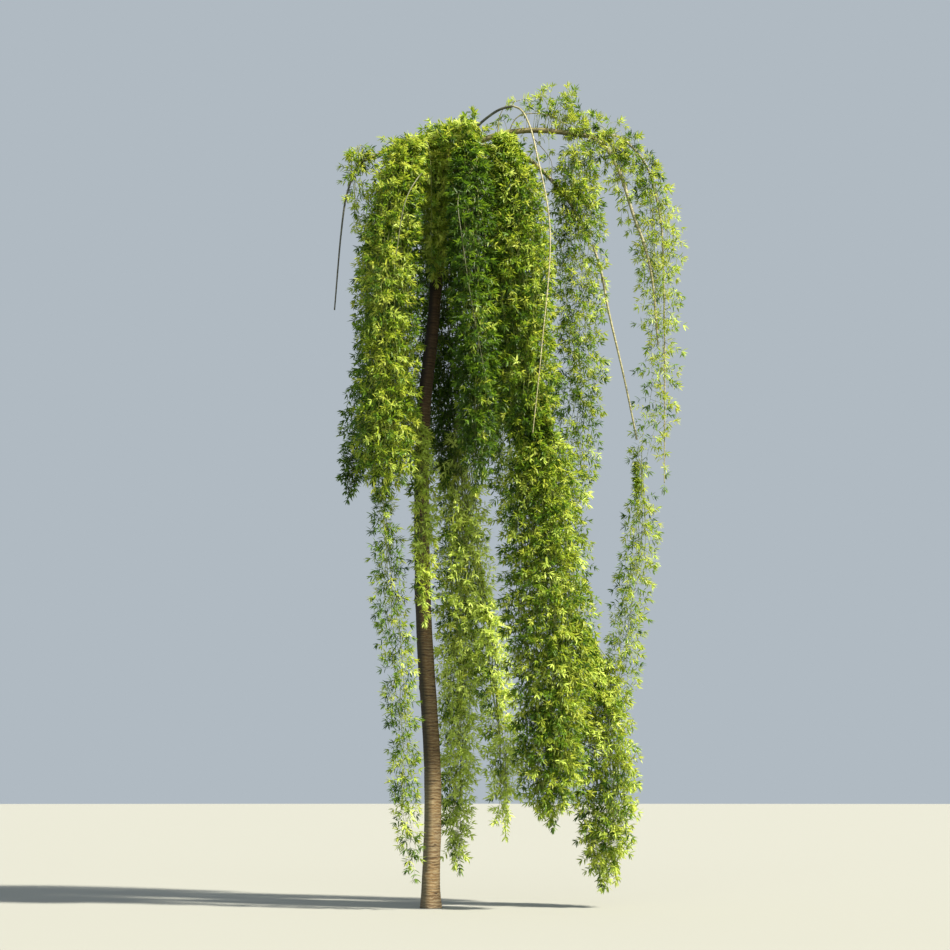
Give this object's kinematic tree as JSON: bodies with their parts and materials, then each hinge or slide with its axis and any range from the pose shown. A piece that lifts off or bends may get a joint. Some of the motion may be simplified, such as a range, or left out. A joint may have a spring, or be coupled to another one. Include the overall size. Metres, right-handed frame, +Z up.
{
  "type": "weeping willow tree",
  "caption": "Slender weeping willow with a wavy trunk, arching boughs and long hanging curtains of leafy shoots, rooted in level ground.",
  "frame": {"origin": "centre of the trunk's flat cut at ground level", "axes": "+Z up, +X towards the longer right side of the crown as the picture shows it, -Y towards the camera"},
  "size_m": [5.133, 4.2529, 11.953],
  "materials": {
    "trunk_bark": "rough, ringed bark",
    "bough_bark": "smooth young bark",
    "leaves": "satin leaf"
  },
  "bodies": {
    "root": {"bough_far_rear": "bough_bark", "bough_front": "bough_bark", "bough_front_left": "bough_bark", "bough_front_right": "bough_bark", "bough_heart": "bough_bark", "bough_left_high": "bough_bark", "bough_left_mid": "bough_bark", "bough_rear": "bough_bark", "bough_rear_left": "bough_bark", "bough_rear_right": "bough_bark", "bough_right_high": "bough_bark", "bough_right_inner": "bough_bark", "bough_right_low": "bough_bark", "bough_right_outer": "bough_bark", "bough_whip_fall": "bough_bark", "bough_whip_rise": "bough_bark", "leaves_centre_front": "leaves", "leaves_centre_rear": "leaves", "leaves_centre_short": "leaves", "leaves_crest_right": "leaves", "leaves_crown_top": "leaves", "leaves_far_rear": "leaves", "leaves_far_right_high": "leaves", "leaves_far_right_low": "leaves", "leaves_heart": "leaves", "leaves_left_front": "leaves", "leaves_left_low": "leaves", "leaves_left_mid": "leaves", "leaves_left_outer": "leaves", "leaves_left_rear": "leaves", "leaves_mid": "leaves", "leaves_mid_right": "leaves", "leaves_rear_low": "leaves", "leaves_right_foot": "leaves", "leaves_right_front_high": "leaves", "leaves_right_front_low": "leaves", "leaves_right_inner": "leaves", "leaves_right_rear_high": "leaves", "leaves_right_rear_low": "leaves", "leaves_right_shoulder": "leaves", "leaves_trunk_veil": "leaves", "shoot_front_centre": "bough_bark", "shoot_front_left": "bough_bark", "shoot_left_bare": "bough_bark", "stem_right_fall": "bough_bark", "trunk": "trunk_bark"}
  },
  "joints": []
}
